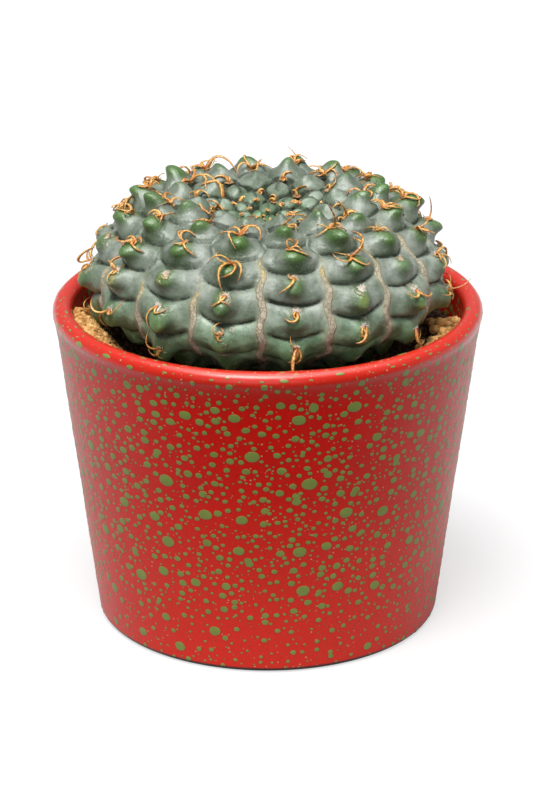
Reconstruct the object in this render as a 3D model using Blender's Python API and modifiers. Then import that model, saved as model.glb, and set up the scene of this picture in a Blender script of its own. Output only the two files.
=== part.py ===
"""Potted chin cactus: a low, ribbed globe cactus growing in a tapered glazed pot.

The pot stands on its foot ring at the origin, +Z is up and the front of the plant faces -Y.
Azimuths are measured from the front (-Y) towards +X. Lengths are metres.
"""

import math
import random

import bmesh
import bpy
import numpy as np
from mathutils import Matrix, Vector

MM = 0.001
GAP = 0.3 * MM

# Pot
RIM_RADIUS = 67.5 * MM
POT_HEIGHT = 104.0 * MM
LIP_RADIUS = 3.1 * MM
LIP_LEVEL = POT_HEIGHT - LIP_RADIUS
WALL = 5.6 * MM
WALL_RADIUS_AT_BASE = 54.2 * MM
WALL_RADIUS_AT_LIP = 66.9 * MM
POT_FLOOR = 6.0 * MM
FOOT_ROUND = 2.2 * MM
FOOT_WIDTH = 6.0 * MM
FOOT_RECESS = 1.6 * MM
FLOOR_FILLET = 6.0 * MM
POT_SIDES = 48

# Cactus: the outline under its tubercles, as radius and height above the lip's level, crown to root tip
BODY_OUTLINE = [
    (0.0, 27.0), (8.0, 28.5), (16.0, 30.9), (24.0, 33.1), (30.0, 33.6), (36.0, 32.5), (42.3, 28.9),
    (47.0, 24.3), (50.6, 18.9), (52.4, 13.6), (52.5, 8.8), (50.6, 4.9), (46.8, 2.4), (42.0, 0.5),
    (37.4, -2.4), (34.4, -6.6), (33.0, -11.5), (30.5, -17.0), (25.0, -23.0), (17.5, -29.5), (12.0, -38.0),
    (7.0, -48.0), (0.0, -54.0),
]  # fmt: skip
RIBS = 16
FRONT_RIB_AZIMUTH = math.radians(9.0)
CROWN_TWIST = 0.9  # ribs that the crown's rows turn between the shoulder and the apex
AREOLE_SHARE = 0.25  # how far down its tubercle an areole lies
CHIN_SHARE = 0.68
SHOULDER_TIER = 5
SHOULDER_ARC = 31.8 * MM
CROWN_GROWTH = 1.62
TIER_SPACING = 9.4 * MM
RELIEF = 4.7 * MM
RELIEF_FULL_AT = 24.0 * MM
CHIN_PART = 0.42  # of the relief, the rest is the broad tubercle
RIDGE_SHARE = 0.35  # height of a rib that is left in a crease
CREASE_BOW = 0.45
RIB_ZIGZAG = 0.06
OVERHANG = 0.8 * MM
BURIED_FROM, BURIED_TO = -4.5 * MM, -8.4 * MM  # heights over which the tubercles fade out

ROWS_PER_TIER = 4
FIRST_ROW_TIER = 1.75
LAST_ROW_TIER = 11.75
COLUMNS_PER_RIB = 6
ROOT_ROWS = 7

# Soil
SOIL_LEVEL = LIP_LEVEL - 9.3 * MM
SOIL_CLEARANCE = 0.55 * MM
SOIL_ROUGHNESS = 0.5 * MM
# Banks of grit against the wall: azimuth, half-width (degrees) and height
BANKS = [(-72.0, 34.0, 10.4 * MM), (76.0, 27.0, 6.4 * MM), (178.0, 46.0, 5.5 * MM)]
BANK_FOOT, BANK_TOP = 0.45, 0.93  # shares of the way from the plant to the wall

# Spine clusters, as (tier, which ribs): 0 for the even ribs, 1 for the odd ribs, which grow half a tier lower
SPINE_WHORLS = [(5, 1), (6, 0), (6, 1), (7, 0)]
PAD_RADIUS, PAD_TOP_RADIUS, PAD_HEIGHT = 1.2 * MM, 0.8 * MM, 0.7 * MM
PAD_LIFT = 0.5 * MM
SPINES = 5
SPINE_LENGTH_DOWN, SPINE_LENGTH_UP = 7.4 * MM, 3.6 * MM
SPINE_STEPS = 3
SPINE_BASE, SPINE_TIP = 0.42 * MM, 0.16 * MM
SPINE_LIFT, SPINE_ARCH = 1.2 * MM, 1.5 * MM

# Grit, as runs of lumps: first and last azimuth (degrees), share of the way to the wall, lump radius
GRIT_RUNS = [
    (52.5, 97.5, 7, 0.85, 1.7 * MM),
    (-97.5, -45.0, 8, 0.92, 1.2 * MM),
    (142.5, 202.5, 5, 0.85, 1.9 * MM),
]
GRIT_ROUGHNESS = 0.13


def smooth_step(low, high, x):
    t = min(1.0, max(0.0, (x - low) / (high - low)))
    return t * t * (3 - 2 * t)


def material(name, colour, roughness):
    made = bpy.data.materials.new(name)
    made.use_nodes = True
    shader = made.node_tree.nodes["Principled BSDF"]
    shader.inputs["Base Color"].default_value = (*colour, 1)
    shader.inputs["Roughness"].default_value = roughness
    shader.inputs["Metallic"].default_value = 0.0
    return made


def add_object(name, mesh, finish):
    made = bpy.data.objects.new(name, mesh)
    made.data.materials.append(finish)
    PARTS.objects.link(made)
    return made


def around(radius, azimuth, height):
    return Vector((radius * math.sin(azimuth), -radius * math.cos(azimuth), height))


# ---- turned shapes -------------------------------------------------------------------------


def arc(centre, radius, start, end, steps):
    """Points of an arc in the profile plane, angles in degrees."""
    angles = [math.radians(start + (end - start) * i / steps) for i in range(steps + 1)]
    return [(centre[0] + radius * math.cos(a), centre[1] + radius * math.sin(a)) for a in angles]


def turned(name, profile, finish):
    """A solid of revolution from a profile that starts and ends on the axis and runs down its outer side."""
    mesh = bpy.data.meshes.new(name)
    edges = [(i, i + 1) for i in range(len(profile) - 1)]
    mesh.from_pydata([(r, 0.0, z) for r, z in profile], edges, [])
    made = add_object(name, mesh, finish)
    screw = made.modifiers.new("Screw", "SCREW")
    screw.steps = screw.render_steps = POT_SIDES
    screw.use_merge_vertices = True
    screw.merge_threshold = 0.01 * MM
    screw.use_smooth_shade = True
    return made


def wall_radius(height):
    """Outer radius of the pot's straight wall."""
    return WALL_RADIUS_AT_BASE + (WALL_RADIUS_AT_LIP - WALL_RADIUS_AT_BASE) * height / LIP_LEVEL


def inner_radius(height):
    return wall_radius(height) - WALL


def make_pot(finish):
    """Tapered pot with a round lip, a filleted floor and a recessed foot."""
    fillet_centre = (inner_radius(POT_FLOOR) - FLOOR_FILLET, POT_FLOOR + FLOOR_FILLET)
    lip_centre = (RIM_RADIUS - LIP_RADIUS, LIP_LEVEL)
    foot_centre = (wall_radius(FOOT_ROUND) - FOOT_ROUND, FOOT_ROUND)
    foot_inside = foot_centre[0] - FOOT_WIDTH
    neck = LIP_LEVEL - 2.6 * LIP_RADIUS
    profile = [
        (0.0, POT_FLOOR),
        *arc(fillet_centre, FLOOR_FILLET, -90, -8, 3),
        (inner_radius(neck), neck),
        *arc(lip_centre, LIP_RADIUS, 190, -30, 9),
        (wall_radius(neck), neck),
        *arc(foot_centre, FOOT_ROUND, 0, -90, 3),
        (foot_inside, 0.0),
        (foot_inside - FOOT_RECESS, FOOT_RECESS),
        (0.0, FOOT_RECESS),
    ]
    return turned("pot", profile, finish)


# ---- cactus body ---------------------------------------------------------------------------


def outline_table(points, steps=24):
    """A smooth curve through the outline's points, as arrays of arc length, radius and height."""
    p = np.array(points) * MM
    p = np.vstack([2 * p[0] - p[1], p, 2 * p[-1] - p[-2]])
    curve = []
    for a, b, c, d in zip(p, p[1:], p[2:], p[3:]):
        for t in np.arange(steps) / steps:
            curve.append(0.5 * (2 * b + (c - a) * t + (2 * a - 5 * b + 4 * c - d) * t**2
                                + (3 * b - a - 3 * c + d) * t**3))  # fmt: skip
    curve = np.array([*curve, p[-2]])
    arcs = np.concatenate([[0], np.cumsum(np.linalg.norm(np.diff(curve, axis=0), axis=1))])
    return arcs, np.maximum(curve[:, 0], 0), curve[:, 1] + LIP_LEVEL


def outline_at(arc_length):
    """Radius, height and downhill direction (radial, upward) of the outline at an arc length from the crown."""
    here, ahead, behind = (
        np.array([np.interp(s, ARCS, RADII), np.interp(s, ARCS, HEIGHTS)])
        for s in (arc_length, arc_length + 0.5 * MM, arc_length - 0.5 * MM)
    )
    along = ahead - behind
    return here[0], here[1], along / np.linalg.norm(along)


def arc_at(tier):
    """Arc length from the crown at a tier coordinate: tubercles grow in proportion, then keep their length."""
    grown = tier - AREOLE_SHARE - SHOULDER_TIER
    if grown <= 0:
        return SHOULDER_ARC * CROWN_GROWTH**grown
    return SHOULDER_ARC + grown * TIER_SPACING


def rib_azimuth(rib, tier):
    """Azimuth of a rib coordinate. The rows of the crown turn as they near the apex."""
    turn = CROWN_TWIST * (1 - smooth_step(-1.0, SHOULDER_TIER + 0.5, tier))
    return FRONT_RIB_AZIMUTH + (rib + turn) * math.tau / RIBS


def tubercle(rib, index, tier, cell_width, cell_length):
    """Height share (0 to 1) that rib number index gives the skin at a rib and tier coordinate."""
    side = rib - index
    place = tier - 0.5 * (index % 2) + CREASE_BOW * side * side
    share = place - math.floor(place)
    half_width = 0.5 - RIB_ZIGZAG * math.cos(math.tau * share)
    across = max(0.0, 1 - (abs(side) / half_width) ** 2.2) ** 0.75
    along = 1 - abs(2 * share**1.35 - 1) ** 2.4
    broad = across * (RIDGE_SHARE + (1 - RIDGE_SHARE) * along)
    chin_size = 0.3 * min(cell_width, 1.3 * cell_length)
    off_side = side * cell_width / chin_size
    off_along = (share - CHIN_SHARE) * cell_length / chin_size
    chin = math.exp(-off_side * off_side - off_along * off_along)
    return (1 - CHIN_PART) * broad + CHIN_PART * chin


def relief(rib, tier):
    """Height share of the skin over the outline: the higher of the two nearest ribs."""
    arc_length = arc_at(tier)
    radius, height, _ = outline_at(arc_length)
    width = max(radius, 1 * MM) * math.tau / RIBS
    length = arc_at(tier + 0.5) - arc_at(tier - 0.5)
    below = math.floor(rib)
    share = max(tubercle(rib, i, tier, width, length) for i in (below, below + 1))
    young = min(1.0, arc_length / RELIEF_FULL_AT) ** 0.8
    above_soil = smooth_step(BURIED_TO, BURIED_FROM, height - LIP_LEVEL)
    return share * young * above_soil


def skin_point(rib, tier, lift=0.0):
    """Point of the cactus's skin, raised by lift along the outline's normal."""
    share = relief(rib, tier)
    radius, height, along = outline_at(arc_at(tier))
    out = (-along[1], along[0])
    raised = share * RELIEF + lift
    slid = share * share * OVERHANG
    r = radius + out[0] * raised + along[0] * slid
    z = height + out[1] * raised + along[1] * slid
    return around(r, rib_azimuth(rib, tier), z)


def make_body(finish):
    """The stem and its root, grown in one piece, shaped from a sphere's rings and segments."""
    tier_rows = round((LAST_ROW_TIER - FIRST_ROW_TIER) * ROWS_PER_TIER) + 1
    tiers = [FIRST_ROW_TIER + i / ROWS_PER_TIER for i in range(tier_rows)]
    rings = tier_rows + ROOT_ROWS + 1
    mesh = bpy.data.meshes.new("cactus_body")
    bm = bmesh.new()
    columns = RIBS * COLUMNS_PER_RIB
    bmesh.ops.create_uvsphere(bm, u_segments=columns, v_segments=rings, radius=1.0)
    for vertex in bm.verts:
        row = round(math.acos(max(-1.0, min(1.0, vertex.co.z))) * rings / math.pi)
        if row in (0, rings):
            vertex.co = (0, 0, HEIGHTS[0 if row == 0 else -1])
            continue
        column = round(math.atan2(vertex.co.y, vertex.co.x) * columns / math.tau) % columns
        rib = column / COLUMNS_PER_RIB
        if row <= tier_rows:
            vertex.co = skin_point(rib, tiers[row - 1])
        else:
            radius, height, _ = outline_at(ROOT_ARCS[row - 1 - tier_rows])
            vertex.co = around(radius, rib_azimuth(rib, LAST_ROW_TIER), height)
    bmesh.ops.recalc_face_normals(bm, faces=bm.faces)
    bm.to_mesh(mesh)
    bm.free()
    mesh.shade_smooth()
    return add_object("cactus_body", mesh, finish)


# ---- soil and grit -------------------------------------------------------------------------


def cavity_radius():
    """Radius of the hole in the soil's surface."""
    return outline_at(ROOT_ARCS[0])[0] + 1.4 * SOIL_CLEARANCE


def soil_height(share, azimuth):
    """Height of the soil's surface, share of the way from the plant to the wall."""
    height = SOIL_LEVEL + 0.5 * SOIL_ROUGHNESS * (math.sin(5 * azimuth) + math.sin(9 * azimuth + 2)) * share
    for centre, half_width, top in BANKS:
        off = math.remainder(azimuth - math.radians(centre), math.tau) / math.radians(half_width)
        height += top * (1 - smooth_step(0.35, 1.0, abs(off))) * smooth_step(BANK_FOOT, BANK_TOP, share)
    return height


def soil_point(share, azimuth):
    height = soil_height(share, azimuth)
    edge = cavity_radius()
    return around(edge + share * (inner_radius(height) - GAP - edge), azimuth, height)


def make_soil(finish):
    """The pot's filling of soil, with the socket that the stem's foot and root grow in."""
    socket = []
    for arc_length in ROOT_ARCS[1:]:
        radius, height, along = outline_at(arc_length)
        socket.append((radius - along[1] * SOIL_CLEARANCE, height + along[0] * SOIL_CLEARANCE))
    bottom = POT_FLOOR + GAP
    corner = inner_radius(bottom) - FLOOR_FILLET
    shares = [0.0, 0.25, 0.45, 0.62, 0.74, 0.85, 0.92, 1.0]
    top_radii = [cavity_radius() + s * (inner_radius(SOIL_LEVEL) - GAP - cavity_radius()) for s in shares]
    profile = [
        (0.0, HEIGHTS[-1] - 2 * SOIL_CLEARANCE),
        *reversed(socket),
        *[(r, SOIL_LEVEL) for r in top_radii],
        *arc((corner, bottom + FLOOR_FILLET), FLOOR_FILLET - GAP, -8, -90, 3),
        (0.0, bottom),
    ]
    plan = turned("soil", profile, finish)
    bpy.context.view_layer.update()
    mesh = bpy.data.meshes.new_from_object(plan.evaluated_get(bpy.context.evaluated_depsgraph_get()))
    bpy.data.objects.remove(plan)
    made = add_object("soil", mesh, finish)
    made.data.materials.pop()
    for vertex in mesh.vertices:
        radius = math.hypot(vertex.co.x, vertex.co.y)
        nearest = min(range(len(shares)), key=lambda i: abs(top_radii[i] - radius))
        if abs(vertex.co.z - SOIL_LEVEL) < 0.01 * MM and abs(top_radii[nearest] - radius) < 0.01 * MM:
            vertex.co = soil_point(shares[nearest], math.atan2(vertex.co.x, -vertex.co.y))
    return made


def make_grit(finish):
    """Loose lumps of baked clay that lie on the soil's banks, against the wall."""
    chance = random.Random(5)
    number = 0
    for first, last, count, share, size in GRIT_RUNS:
        for i in range(count):
            number += 1
            azimuth = math.radians(first + (last - first) * i / (count - 1))
            here = soil_point(share, azimuth)
            downhill = soil_point(share - 0.03, azimuth) - soil_point(share + 0.03, azimuth)
            sideways = soil_point(share, azimuth + 0.02) - soil_point(share, azimuth - 0.02)
            normal = downhill.cross(sideways).normalized()
            normal = normal if normal.z > 0 else -normal
            radius = size * chance.uniform(0.86, 1.0)
            name = f"grit_{number:02d}"
            mesh = bpy.data.meshes.new(name)
            bm = bmesh.new()
            bmesh.ops.create_icosphere(bm, subdivisions=2, radius=radius)
            for vertex in bm.verts:
                vertex.co *= 1 - chance.uniform(0, GRIT_ROUGHNESS)
            bm.to_mesh(mesh)
            bm.free()
            lump = add_object(name, mesh, finish)
            lump.location = here + normal * (radius + 1.2 * GAP)
            lump.rotation_euler = [chance.uniform(0, math.tau) for _ in range(3)]


# ---- spines --------------------------------------------------------------------------------


def spine_path(rib, tier, heading, length):
    """Points along a spine that arches over the skin. Its heading is measured from downhill."""
    radius, _, _ = outline_at(arc_at(tier))
    rib_width = radius * math.tau / RIBS
    tier_length = arc_at(tier + 0.5) - arc_at(tier - 0.5)
    points = []
    for step in range(1, SPINE_STEPS + 1):
        done = step / SPINE_STEPS
        reach = done * length
        points.append(
            skin_point(
                rib + reach * math.sin(heading) / rib_width,
                tier + reach * math.cos(heading) / tier_length,
                SPINE_LIFT + SPINE_ARCH * math.sin(2.4 * done),
            )
        )
    return points


def grow_spine(bm, face, path):
    """Extrudes a side face of the wool pad along a path, narrowing to the tip."""
    behind = face.calc_center_median()
    for step, point in enumerate(path):
        forward = (point - behind).normalized()
        grown = bmesh.ops.extrude_discrete_faces(bm, faces=[face])["faces"][0]
        corner = grown.verts[0].co - grown.calc_center_median()
        corner = (corner - forward * corner.dot(forward)).normalized()
        beside = forward.cross(corner)
        radius = SPINE_BASE + (SPINE_TIP - SPINE_BASE) * (step + 1) / len(path)
        for turn, vertex in zip((corner, beside, -corner, -beside), grown.verts):
            vertex.co = point + turn * radius
        face, behind = grown, point


def make_spine_clusters(finish):
    """One cluster for each areole of the upper flanks: a felt pad with its spines."""
    chance = random.Random(11)
    number = 0
    for tier_index, odd in SPINE_WHORLS:
        tier = tier_index + 0.5 * odd + AREOLE_SHARE
        for rib in range(odd, RIBS, 2):
            number += 1
            seat = skin_point(rib, tier)
            near = 1 / COLUMNS_PER_RIB
            across = skin_point(rib + near, tier) - skin_point(rib - near, tier)
            down = skin_point(rib, tier + 0.25) - skin_point(rib, tier - 0.25)
            normal = down.cross(across).normalized()
            down = (down - normal * down.dot(normal)).normalized()
            if normal.dot(seat - Vector((0, 0, LIP_LEVEL - 20 * MM))) < 0:
                normal = -normal
            side = normal.cross(down)
            frame = Matrix((-down, -side, normal)).transposed().to_4x4()
            frame.translation = seat + normal * (PAD_LIFT + PAD_HEIGHT / 2)
            name = f"spine_cluster_{number:02d}"
            mesh = bpy.data.meshes.new(name)
            bm = bmesh.new()
            bmesh.ops.create_cone(bm, segments=SPINES, radius1=PAD_RADIUS, radius2=PAD_TOP_RADIUS,
                                  depth=PAD_HEIGHT, cap_ends=True)  # fmt: skip
            flanks = [f for f in bm.faces if len(f.verts) == 4]
            to_pad = frame.inverted()
            for face in flanks:
                centre = frame.to_3x3() @ face.calc_center_median()
                sideways = 1 if rib_azimuth(rib + 0.1, tier) > rib_azimuth(rib, tier) else -1
                across_unit = across.normalized() * sideways
                heading = math.atan2(centre.dot(across_unit), centre.dot(down))
                downward = 0.5 + 0.5 * math.cos(heading)
                length = SPINE_LENGTH_UP + (SPINE_LENGTH_DOWN - SPINE_LENGTH_UP) * downward
                length *= chance.uniform(0.85, 1.1)
                path = [to_pad @ p for p in spine_path(rib, tier, heading, length)]
                grow_spine(bm, face, path)
            bmesh.ops.recalc_face_normals(bm, faces=bm.faces)
            bm.to_mesh(mesh)
            bm.free()
            cluster = add_object(name, mesh, finish)
            cluster.matrix_world = frame


for old in list(bpy.data.objects):
    bpy.data.objects.remove(old)
PARTS = bpy.data.collections.new("potted_chin_cactus")
bpy.context.scene.collection.children.link(PARTS)
ARCS, RADII, HEIGHTS = outline_table(BODY_OUTLINE)
widest = int(np.argmax(RADII))
soil_line = float(np.interp(-SOIL_LEVEL, -HEIGHTS[widest:], ARCS[widest:]))
ROOT_ARCS = np.linspace(soil_line, ARCS[-1], ROOT_ROWS + 1)[:-1]

make_pot(material("red_glaze", (0.56, 0.035, 0.022), 0.4))
make_soil(material("potting_soil", (0.06, 0.035, 0.02), 0.95))
make_body(material("cactus_skin", (0.10, 0.16, 0.10), 0.5))
make_grit(material("baked_clay", (0.55, 0.30, 0.11), 0.9))
make_spine_clusters(material("spine", (0.55, 0.25, 0.07), 0.45))
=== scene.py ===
import random
from math import cos, inf, log, pi, radians, sin, sqrt, tau

import bpy
import numpy as np
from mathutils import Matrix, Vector


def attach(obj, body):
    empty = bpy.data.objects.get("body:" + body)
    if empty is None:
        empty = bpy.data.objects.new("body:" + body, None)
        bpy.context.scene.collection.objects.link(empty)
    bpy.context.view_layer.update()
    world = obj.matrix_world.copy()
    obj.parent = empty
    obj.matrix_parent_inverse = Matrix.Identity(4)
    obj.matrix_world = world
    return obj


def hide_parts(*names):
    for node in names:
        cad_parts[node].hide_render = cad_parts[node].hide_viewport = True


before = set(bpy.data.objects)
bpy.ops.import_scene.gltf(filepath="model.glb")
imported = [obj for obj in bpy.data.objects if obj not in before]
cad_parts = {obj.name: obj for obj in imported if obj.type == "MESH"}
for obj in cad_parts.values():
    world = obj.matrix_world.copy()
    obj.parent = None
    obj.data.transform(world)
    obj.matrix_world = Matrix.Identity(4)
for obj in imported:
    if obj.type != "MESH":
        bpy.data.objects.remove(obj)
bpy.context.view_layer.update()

MM = 0.001

# The pot
RIM_RADIUS = 67.5 * MM
POT_HEIGHT = 104.0 * MM
LIP_RADIUS = 3.1 * MM
LIP_LEVEL = POT_HEIGHT - LIP_RADIUS
WALL = 5.6 * MM
WALL_RADIUS_AT_BASE = 54.2 * MM
WALL_RADIUS_AT_LIP = 66.9 * MM
POT_FLOOR = 6.0 * MM
FOOT_ROUND = 2.2 * MM
FOOT_WIDTH = 6.0 * MM
FOOT_RECESS = 1.6 * MM
POT_SIDES = 512

# The plant: the outline under its tubercles, as radius and height above the lip's level, crown to root tip
BODY_OUTLINE = [
    (0, 27), (8, 28.5), (16, 30.9), (24, 33.1), (30, 33.6), (36, 32.5), (42.3, 28.9),
    (47, 24.3), (50.6, 18.9), (52.4, 13.6), (52.5, 8.8), (50.6, 4.9), (46.8, 2.4), (42, 0.5),
    (37.4, -2.4), (34.4, -6.6), (33, -11.5), (30.5, -17), (25, -23), (17.5, -29.5), (12, -38),
    (7, -48), (0, -54),
]
RIBS = 16
FRONT_RIB_AZIMUTH = radians(9.0)
RIB_ANGLE = tau / RIBS
CROWN_TWIST = 0.9  # ribs that the crown's rows turn between the shoulder and the apex
# Tiers of tubercles count from the apex down. Their arc length grows by a factor from tier to tier in the
# crown, and by a step on the flanks
SHOULDER_TIER = 5
SHOULDER_ARC = 31.8 * MM
CROWN_GROWTH = 1.62
TIER_SPACING = 9.4 * MM
AREOLE_SHARE = 0.15  # how far down its tubercle an areole lies, on the flanks
CROWN_AREOLE_SHARE = 0.06
SEAT_SHARE = 0.15  # the tier coordinate that the tiers' arc lengths are counted from
CHIN_SHARE = 0.46
CREST_START, CREST_END = 0.38, 0.84  # where a flank tubercle stands highest
RIDGE = 0.22  # height of a rib that is left in a crease
CREASE_BOW = 1.15  # how far a crease bends up from the rib's middle to its edge
SWELLING, CHIN_HEIGHT, OVERHANG = 2.1 * MM, 4.3 * MM, 1.9 * MM
CORK_HEIGHT, AREOLE_DEPTH = 0.5 * MM, 0.6 * MM
DOME_HEIGHT = 0.5  # of a crown tubercle, as a share of its size
# The plant's mesh
COLUMNS_PER_RIB = 24
CROWN_ROWS_PER_TIER, ROWS_PER_TIER = 12, 21
FIRST_TIER, CROWN_TIER, LAST_TIER = -0.8, 3.0, 11.8
ROOT_ROWS = 12
SOIL_LEVEL = LIP_LEVEL - 9.3 * MM
SOIL_CLEARANCE = 0.55 * MM
# Banks of grit against the wall: azimuth, half-width (degrees) and height
BANKS = [(-74.0, 31.0, 9.9 * MM), (76.0, 27.0, 6.4 * MM), (178.0, 46.0, 5.5 * MM)]
BANK_FOOT, BANK_TOP = 0.45, 0.93

# Where the cork of each furrow starts, as a tier: the furrow left of the front rib is the last one
CORK_STARTS = [6.3, 6.1, 5.7, 7.0, 7.4, 6.8, 7.6, 7.1, 7.8, 6.9, 7.3, 7.9, 7.2, 7.3, 7.1, 6.2]


# ---- node trees as expressions ----


def is_vector(value):
    if isinstance(value, Value):
        return value.socket.type in ("VECTOR", "RGBA")
    return isinstance(value, (tuple, list, Vector))


def combine(operation, *terms):
    """The Math or Vector Math node for an operation on numbers, vectors and sockets."""
    graph = next(t.graph for t in terms if isinstance(t, Value))
    if not any(is_vector(t) for t in terms):
        return graph.node("ShaderNodeMath", {"operation": operation}, dict(enumerate(terms)))
    if operation == "MULTIPLY" and not all(is_vector(t) for t in terms):
        vector, factor = sorted(terms, key=is_vector, reverse=True)
        return graph.node("ShaderNodeVectorMath", {"operation": "SCALE"}, {0: vector, 3: factor})
    return graph.node("ShaderNodeVectorMath", {"operation": operation}, dict(enumerate(terms)))


class Value:
    """An output socket that can stand in an expression."""

    def __init__(self, graph, socket):
        self.graph, self.socket = graph, socket

    __add__ = __radd__ = lambda self, other: combine("ADD", self, other)
    __mul__ = __rmul__ = lambda self, other: combine("MULTIPLY", self, other)
    __sub__ = lambda self, other: combine("SUBTRACT", self, other)
    __rsub__ = lambda self, other: combine("SUBTRACT", other, self)
    __truediv__ = lambda self, other: combine("DIVIDE", self, other)
    __rtruediv__ = lambda self, other: combine("DIVIDE", other, self)
    __pow__ = lambda self, other: combine("POWER", self, other)
    __gt__ = lambda self, other: combine("GREATER_THAN", self, other)
    __lt__ = lambda self, other: combine("LESS_THAN", self, other)
    __neg__ = lambda self: combine("MULTIPLY", self, -1.0)
    __abs__ = lambda self: combine("ABSOLUTE", self)


class Graph:
    """A node tree that expressions add their nodes to."""

    def __init__(self, tree, owner):
        self.tree, self.owner = tree, owner

    def node(self, kind, settings=None, inputs=None, output=0):
        """Adds a node: its settings, then the values or links of its sockets. Gives one of its outputs."""
        made = self.tree.nodes.new(kind)
        for name, setting in (settings or {}).items():
            setattr(made, name, setting)
        for name, value in (inputs or {}).items():
            if isinstance(value, Value):
                self.tree.links.new(value.socket, made.inputs[name])
            else:
                made.inputs[name].default_value = value
        return Value(self, made.outputs[output])


def also(value, output):
    """Another output of the node that made a value."""
    return Value(value.graph, value.socket.node.outputs[output])


def largest(a, b):
    return combine("MAXIMUM", a, b)


def smallest(a, b):
    return combine("MINIMUM", a, b)


def rise(value, low, high):
    """A smooth step from 0 at low to 1 at high. Low may be the larger."""
    if low > high:
        return 1.0 - rise(value, high, low)
    return value.graph.node(
        "ShaderNodeMapRange", {"interpolation_type": "SMOOTHSTEP"}, {"Value": value, 1: low, 2: high}
    )


def blend(factor, a, b):
    """A colour between a and b."""
    a, b = (c if isinstance(c, Value) else (*c, 1.0) for c in (a, b))
    return factor.graph.node("ShaderNodeMix", {"data_type": "RGBA"}, {0: factor, 6: a, 7: b}, output=2)


def painted(colour, *coats):
    """A colour under coats: the share of each that covers, 0 to 1, and its own colour."""
    for share, coat in coats:
        colour = blend(share, colour, coat)
    return colour


def root_of(value):
    return combine("SQRT", value)


def cross(a, b):
    return combine("CROSS_PRODUCT", a, b)


def dot(a, b):
    return a.graph.node("ShaderNodeVectorMath", {"operation": "DOT_PRODUCT"}, {0: a, 1: b}, "Value")


def parts_of(vector):
    split = vector.graph.node("ShaderNodeSeparateXYZ", None, {0: vector})
    return [Value(vector.graph, s) for s in split.socket.node.outputs]


def vector_of(graph, x, y, z):
    return graph.node("ShaderNodeCombineXYZ", None, {0: x, 1: y, 2: z})


MIDDLE = (0.5, 0.5, 0.5)  # of a noise in three directions


def noise(position, size, detail=2.0, roughness=0.5, output=0):
    """Cloudy noise, 0 to 1, with features of a size in millimetres."""
    return position.graph.node(
        "ShaderNodeTexNoise", None,
        {"Vector": position, "Scale": 1000 / size, "Detail": detail, "Roughness": roughness}, output,
    )


def cells(position, size, feature="F1", flat=False, randomness=1.0):
    """Random cells of a size in millimetres: how far the nearest one's middle or edge is, in cells."""
    return position.graph.node(
        "ShaderNodeTexVoronoi", {"feature": feature, "voronoi_dimensions": "2D" if flat else "3D"},
        {"Vector": position, "Scale": 1000 / size, "Randomness": randomness}, "Distance",
    )


def chances(*keys, kind="3D"):
    """Three random numbers, 0 to 1, that belong to up to three keys."""
    graph = keys[0].graph
    inputs = {"Vector": vector_of(graph, *keys, *[0.0] * (3 - len(keys)))}
    return parts_of(graph.node("ShaderNodeTexWhiteNoise", {"noise_dimensions": kind}, inputs, "Color"))


def attribute(graph, name):
    """A number that is stored on the mesh's points."""
    if graph.tree.type == "GEOMETRY":
        return graph.node("GeometryNodeInputNamedAttribute", {"data_type": "FLOAT"}, {"Name": name})
    return graph.node("ShaderNodeAttribute", {"attribute_name": name}, None, "Fac")


def attributes(graph, names):
    return [attribute(graph, name) for name in names.split()]


def vector_attribute(graph, name):
    return graph.node("GeometryNodeInputNamedAttribute", {"data_type": "FLOAT_VECTOR"}, {"Name": name})


# ---- materials ----


def surface(name, roughness, **constants):
    """A new material: its expression graph and its Object coordinates."""
    material = bpy.data.materials.new(name)
    material.use_nodes = True
    shader = material.node_tree.nodes["Principled BSDF"]
    for label, value in {"Roughness": roughness, **constants}.items():
        shader.inputs[label.replace("_", " ")].default_value = value
    graph = Graph(material.node_tree, material)
    return graph, graph.node("ShaderNodeTexCoord", output="Object")


def finished(graph, **varying):
    """The graph's material, with values linked to its Principled shader."""
    for label, value in varying.items():
        shader = graph.tree.nodes["Principled BSDF"]
        graph.tree.links.new(value.socket, shader.inputs[label.replace("_", " ")])
    return graph.owner


def bump(height, depth, behind=None):
    """A normal that shows a height of 0 to 1 as a relief of a depth in millimetres."""
    inputs = {"Height": height, "Distance": depth * MM}
    if behind:
        inputs["Normal"] = behind
    return height.graph.node("ShaderNodeBump", None, inputs)


# ---- geometry trees ----


def geometry_tree(name, inputs):
    """A new Geometry Nodes tree with named inputs, numbers or objects: its graph, geometry and inputs."""
    tree = bpy.data.node_groups.new(name, "GeometryNodeTree")
    tree.interface.new_socket("Geometry", in_out="OUTPUT", socket_type="NodeSocketGeometry")
    tree.interface.new_socket("Geometry", in_out="INPUT", socket_type="NodeSocketGeometry")
    for label, value in inputs.items():
        kind = "Object" if isinstance(value, bpy.types.Object) else "Float"
        tree.interface.new_socket(label, in_out="INPUT", socket_type="NodeSocket" + kind)
    graph = Graph(tree, inputs)
    entry = tree.nodes.new("NodeGroupInput")
    given = {s.name: Value(graph, s) for s in entry.outputs if s.name}
    return graph, given.pop("Geometry"), given


def through(geometry, kind, settings=None, output=0, **inputs):
    """Passes a geometry through a node, whose first input it is."""
    named = {label.replace("_", " "): value for label, value in inputs.items()}
    return geometry.graph.node("GeometryNode" + kind, settings, {0: geometry, **named}, output)


def field(graph, kind):
    """Each point's Position, Normal or Index."""
    return graph.node("GeometryNodeInput" + kind)


def geometry_of(graph, thing):
    settings = {"transform_space": "RELATIVE"}
    return graph.node("GeometryNodeObjectInfo", settings, {"Object": thing}, "Geometry")


def store(geometry, name, value):
    settings = {"data_type": "FLOAT", "domain": "POINT"}
    return through(geometry, "StoreNamedAttribute", settings, Name=name, Value=value)


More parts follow.
